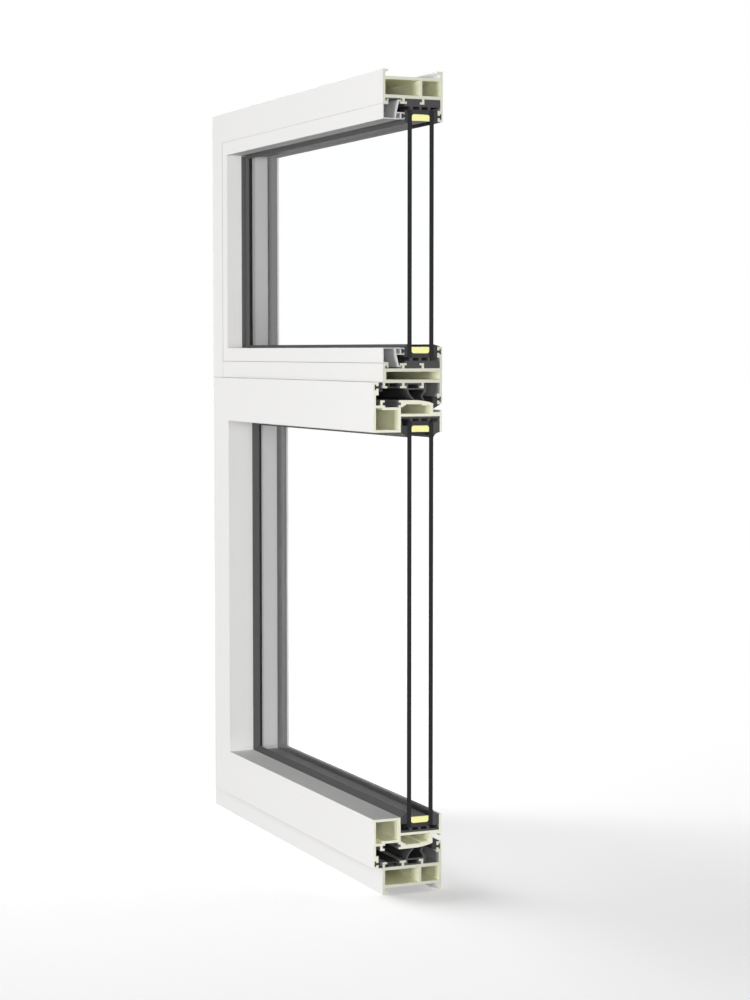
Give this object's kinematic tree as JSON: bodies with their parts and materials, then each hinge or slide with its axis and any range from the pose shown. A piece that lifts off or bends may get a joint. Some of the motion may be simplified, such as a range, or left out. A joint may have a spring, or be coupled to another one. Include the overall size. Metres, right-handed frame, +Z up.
{
  "type": "tilt and turn window corner section sample",
  "caption": "Cut-away corner of a tilt and turn window: fibreglass frame with transom, fixed double-glazed pane above, sash with bonded double glazing below, all cut to show the sections.",
  "frame": {"origin": "middle of the surface that the frame's legs stand on, in the middle of the box", "axes": "+Z up, +Y from the room side to the weather side, +X from the jamb to the cut"},
  "size_m": [0.4186, 0.0628, 0.6883],
  "materials": {
    "coated_profile": "satin white coat on pultruded fibreglass",
    "bead_profile": "satin white coat",
    "clear_glass": "clear float glass",
    "seal_rubber": "matt black seal",
    "spacer_bar": "pale yellow spacer",
    "edge_sealant": "dark sealant",
    "glazing_bond": "grey adhesive",
    "packer_grey": "grey packer",
    "cover_strip": "dark grey cover strip"
  },
  "bodies": {
    "root": {"frame_head": "coated_profile", "frame_jamb": "coated_profile", "frame_sill": "coated_profile", "transom": "coated_profile", "sash_top_rail": "coated_profile", "sash_stile": "coated_profile", "sash_bottom_rail": "coated_profile", "fixed_bead_head": "bead_profile", "fixed_bead_jamb": "bead_profile", "fixed_bead_sill": "bead_profile", "fixed_inner_pane": "clear_glass", "fixed_outer_pane": "clear_glass", "sash_inner_pane": "clear_glass", "sash_outer_pane": "clear_glass", "fixed_inner_gasket": "seal_rubber", "fixed_outer_gasket": "seal_rubber", "centre_gasket": "seal_rubber", "overlap_gasket": "seal_rubber", "rebate_gasket": "seal_rubber", "fixed_spacer": "spacer_bar", "sash_spacer": "spacer_bar", "fixed_edge_seal": "edge_sealant", "sash_edge_seal": "edge_sealant", "sash_inner_bond": "glazing_bond", "sash_outer_bond": "glazing_bond", "fixed_packer_head": "packer_grey", "fixed_packer_jamb": "packer_grey", "fixed_packer_sill": "packer_grey", "sash_liner": "packer_grey", "slot_cover": "cover_strip"}
  },
  "joints": []
}
